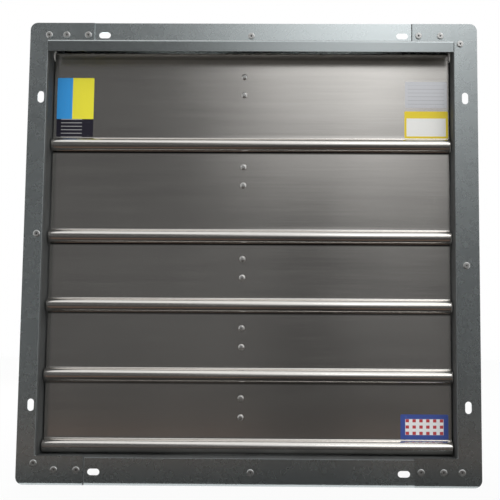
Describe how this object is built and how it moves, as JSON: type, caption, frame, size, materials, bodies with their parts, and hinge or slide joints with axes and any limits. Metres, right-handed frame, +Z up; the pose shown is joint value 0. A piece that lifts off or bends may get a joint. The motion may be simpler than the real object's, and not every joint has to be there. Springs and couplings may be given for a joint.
{
  "type": "shutter exhaust fan",
  "caption": "Nearly square wall exhaust fan: flanged sheet frame, linked gravity shutter blades under a drip hood, and a direct-drive propeller with motor and wire guard behind.",
  "frame": {"origin": "centre of the flange, on the plane of the wall that the flange lies against", "axes": "+X to the right seen from outside, +Y from outside to inside along the air path's axis, +Z up"},
  "size_m": [0.61, 0.3164, 0.621],
  "materials": {
    "galvanised_sheet": "galvanised sheet with a faint spangle",
    "blade_aluminium": "mill finish with a fine rolling grain",
    "rivet_metal": "dull aluminium",
    "zinc_fasteners": "bright zinc plate",
    "bright_rod": "drawn steel rod",
    "bush_nylon": "natural nylon",
    "guard_wire": "zinc-plated wire",
    "motor_paint": "satin black enamel",
    "core_steel": "stacked electrical sheet",
    "winding_wire": "enamelled copper wire",
    "bearing_bronze": "sintered bronze",
    "cable_rubber": "black rubber",
    "capacitor_case": "dark moulded case",
    "spider_steel": "zinc-plated pressed steel"
  },
  "bodies": {
    "housing": {"left_side_channel": "galvanised_sheet", "right_side_channel": "galvanised_sheet", "top_rail": "galvanised_sheet", "bottom_rail": "galvanised_sheet", "drip_hood": "galvanised_sheet", "fan_panel": "galvanised_sheet", "motor_arm_1": "galvanised_sheet", "motor_arm_2": "galvanised_sheet", "motor_arm_3": "galvanised_sheet", "motor_arm_4": "galvanised_sheet", "motor_plate": "galvanised_sheet", "capacitor_strap": "galvanised_sheet", "frame_rivets": "rivet_metal", "panel_screws": "zinc_fasteners", "arm_bolts": "zinc_fasteners", "motor_bolts": "zinc_fasteners", "through_bolts": "zinc_fasteners", "terminal_screws": "zinc_fasteners", "pivot_bushes": "bush_nylon", "guard_rings": "guard_wire", "guard_spokes": "guard_wire", "motor_shell": "motor_paint", "motor_front_bell": "motor_paint", "motor_rear_bell": "motor_paint", "terminal_box": "motor_paint", "terminal_cover": "motor_paint", "stator_core": "core_steel", "stator_windings": "winding_wire", "front_bearing": "bearing_bronze", "rear_bearing": "bearing_bronze", "cable_bush": "cable_rubber", "capacitor": "capacitor_case"},
    "louver_1": {"shutter_blade_1": "blade_aluminium", "pivot_rod_1": "bright_rod", "crank_bracket_1": "galvanised_sheet", "crank_rivets_1": "rivet_metal"},
    "louver_2": {"shutter_blade_2": "blade_aluminium", "pivot_rod_2": "bright_rod", "crank_bracket_2": "galvanised_sheet", "crank_rivets_2": "rivet_metal"},
    "louver_3": {"shutter_blade_3": "blade_aluminium", "pivot_rod_3": "bright_rod", "crank_bracket_3": "galvanised_sheet", "crank_rivets_3": "rivet_metal"},
    "louver_4": {"shutter_blade_4": "blade_aluminium", "pivot_rod_4": "bright_rod", "crank_bracket_4": "galvanised_sheet", "crank_rivets_4": "rivet_metal"},
    "louver_5": {"shutter_blade_5": "blade_aluminium", "pivot_rod_5": "bright_rod", "crank_bracket_5": "galvanised_sheet", "crank_rivets_5": "rivet_metal"},
    "linkage": {"tie_bar": "galvanised_sheet"},
    "impeller": {"motor_shaft": "bright_rod", "rotor_core": "core_steel", "propeller_hub": "spider_steel", "propeller_spider": "spider_steel", "propeller_blades": "blade_aluminium", "propeller_rivets": "rivet_metal"}
  },
  "joints": [
    {"name": "louver_1_hinge", "type": "hinge", "parent": "housing", "child": "louver_1", "pos_m": [-0.0035, 0.029, 0.273], "axis": [-1, 0, 0], "range_deg": [0, 70]},
    {"name": "louver_2_hinge", "type": "hinge", "parent": "housing", "child": "louver_2", "pos_m": [-0.0035, 0.029, 0.1462], "axis": [-1, 0, 0], "range_deg": [0, 70]},
    {"name": "louver_3_hinge", "type": "hinge", "parent": "housing", "child": "louver_3", "pos_m": [-0.0035, 0.029, 0.0194], "axis": [-1, 0, 0], "range_deg": [0, 70]},
    {"name": "louver_4_hinge", "type": "hinge", "parent": "housing", "child": "louver_4", "pos_m": [-0.0035, 0.029, -0.07457], "axis": [-1, 0, 0], "range_deg": [0, 70]},
    {"name": "louver_5_hinge", "type": "hinge", "parent": "housing", "child": "louver_5", "pos_m": [-0.0035, 0.029, -0.16853], "axis": [-1, 0, 0], "range_deg": [0, 70]},
    {"name": "linkage_hinge", "type": "hinge", "parent": "louver_3", "child": "linkage", "pos_m": [-0.0035, 0.061, 0.0204], "axis": [-1, 0, 0], "range_deg": [-70, 0]},
    {"name": "impeller_spin", "type": "hinge", "parent": "housing", "child": "impeller", "pos_m": [-0.0035, 0.116, 0.0058], "axis": [0, 1, 0], "continuous": true}
  ],
  "couplings": [
    {"joint": "louver_2_hinge", "follows": "louver_1_hinge", "ratio": 1},
    {"joint": "louver_3_hinge", "follows": "louver_1_hinge", "ratio": 1},
    {"joint": "louver_4_hinge", "follows": "louver_1_hinge", "ratio": 1},
    {"joint": "louver_5_hinge", "follows": "louver_1_hinge", "ratio": 1},
    {"joint": "linkage_hinge", "follows": "louver_1_hinge", "ratio": -1}
  ]
}
